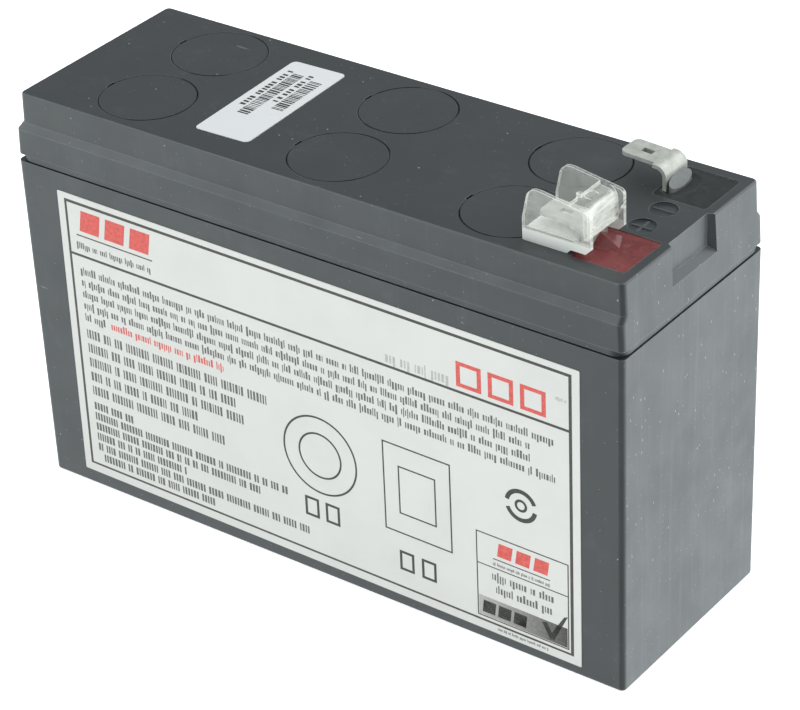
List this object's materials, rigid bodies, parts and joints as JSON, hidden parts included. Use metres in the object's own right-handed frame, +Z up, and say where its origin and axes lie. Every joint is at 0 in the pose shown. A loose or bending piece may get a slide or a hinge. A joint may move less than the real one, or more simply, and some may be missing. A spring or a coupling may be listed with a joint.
{
  "type": "ups battery cartridge",
  "caption": "Sealed lead-acid battery block for a UPS: dark moulded case, flush round vents, two blade terminals potted in resin, a see-through slip-on cap on one, and a printed long label.",
  "frame": {"origin": "middle of the base, on the floor it stands on", "axes": "+X along the length toward the terminal end, +Y from the labelled long side to the plain one, +Z up"},
  "size_m": [0.1518, 0.0511, 0.1054],
  "materials": {
    "case_plastic": "satin moulded ABS, dark grey, with faint draw marks and dust",
    "cover_plastic": "satin moulded ABS, dark grey",
    "vent_plastic": "satin moulded ABS, dark grey",
    "valve_rubber": "soft moulded rubber",
    "seal_rubber": "soft moulded rubber",
    "tinned_strip": "rolled strip with bright tin plating, a little dull",
    "lead": "cast lead, matte grey",
    "positive_plate": "pasted lead grid, brown",
    "negative_plate": "pasted lead grid, grey",
    "separator_mat": "glass fibre mat",
    "red_resin": "poured resin, glossy red",
    "black_resin": "poured resin, glossy black",
    "clear_plastic": "see-through moulded plastic, a little milky",
    "label_film": "printed label, satin",
    "tag_film": "printed label, satin"
  },
  "bodies": {
    "root": {"case": "case_plastic", "cell_1_negative_plates": "negative_plate", "cell_1_positive_plates": "positive_plate", "cell_1_separators": "separator_mat", "cell_2_negative_plates": "negative_plate", "cell_2_positive_plates": "positive_plate", "cell_2_separators": "separator_mat", "cell_3_negative_plates": "negative_plate", "cell_3_positive_plates": "positive_plate", "cell_3_separators": "separator_mat", "cell_4_negative_plates": "negative_plate", "cell_4_positive_plates": "positive_plate", "cell_4_separators": "separator_mat", "cell_5_negative_plates": "negative_plate", "cell_5_positive_plates": "positive_plate", "cell_5_separators": "separator_mat", "cell_6_negative_plates": "negative_plate", "cell_6_positive_plates": "positive_plate", "cell_6_separators": "separator_mat", "cover": "cover_plastic", "front_label": "label_film", "post_negative": "lead", "post_positive": "lead", "post_seal_negative": "seal_rubber", "post_seal_positive": "seal_rubber", "potting_negative": "black_resin", "potting_positive": "red_resin", "tab_negative": "tinned_strip", "tab_positive": "tinned_strip", "terminal_cap": "clear_plastic", "top_label": "tag_film", "valve_1": "valve_rubber", "valve_2": "valve_rubber", "valve_3": "valve_rubber", "valve_4": "valve_rubber", "valve_5": "valve_rubber", "valve_6": "valve_rubber", "vent_disc_1": "vent_plastic", "vent_disc_2": "vent_plastic", "vent_disc_3": "vent_plastic", "vent_disc_4": "vent_plastic", "vent_disc_5": "vent_plastic", "vent_disc_6": "vent_plastic"}
  },
  "joints": []
}
